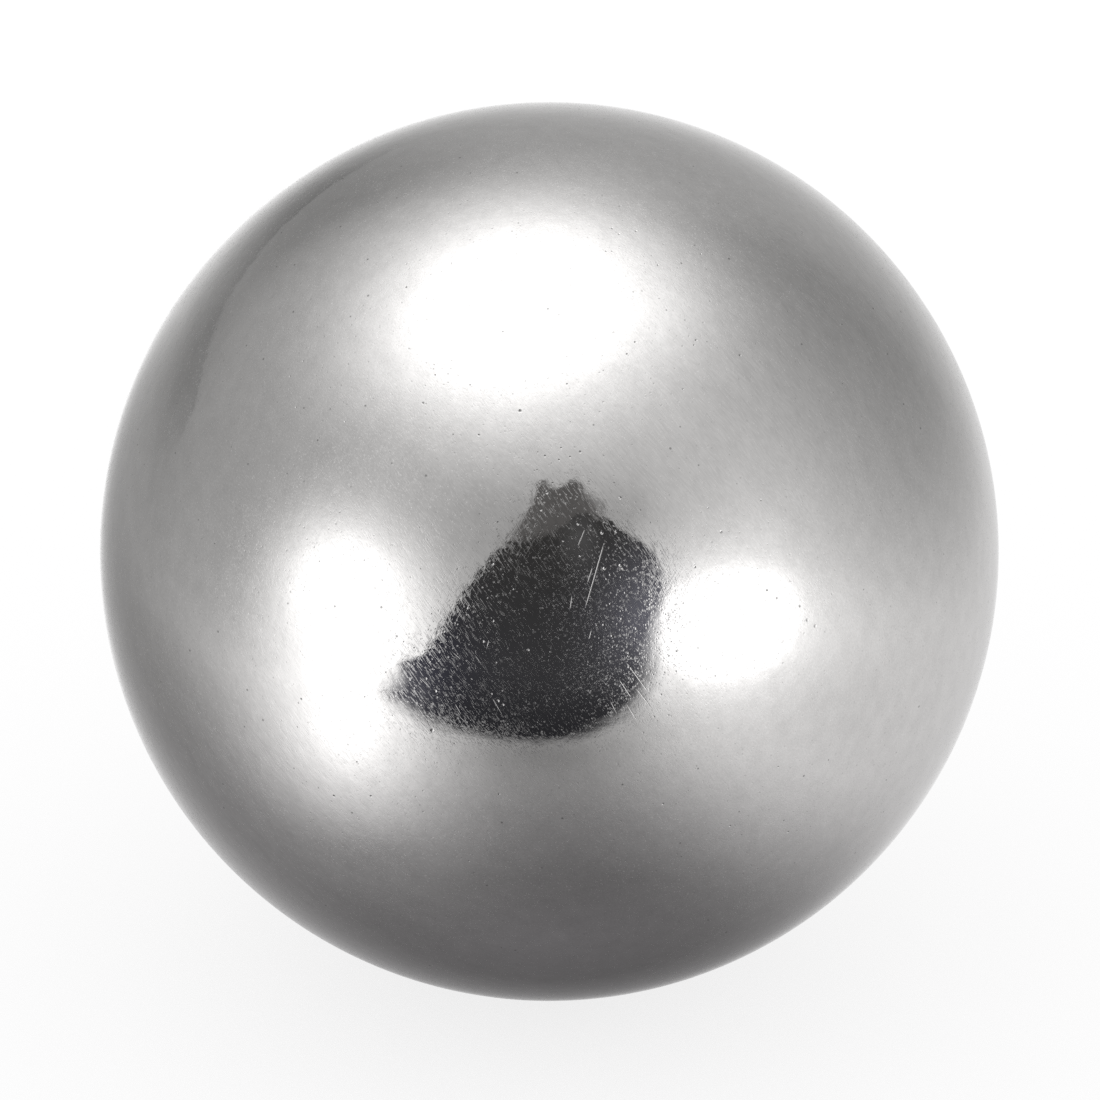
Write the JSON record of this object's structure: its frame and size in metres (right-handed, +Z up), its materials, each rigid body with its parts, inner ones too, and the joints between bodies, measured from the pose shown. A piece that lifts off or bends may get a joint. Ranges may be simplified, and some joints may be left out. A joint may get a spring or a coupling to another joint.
{
  "type": "steel ball",
  "caption": "Solid steel ball, polished but finely pitted and scratched, to roll in a race or rest in a cup, ring or drilled seat.",
  "frame": {"origin": "centre of the ball", "axes": "+Z up, away from the seat that the ball rests in; the ball is round about every axis, so +X and +Y are free"},
  "size_m": [0.05, 0.05, 0.05],
  "materials": {
    "polished_steel": "polished steel with a fine orange peel, tiny pits and hairline scratches"
  },
  "bodies": {
    "root": {"ball": "polished_steel"}
  },
  "joints": []
}
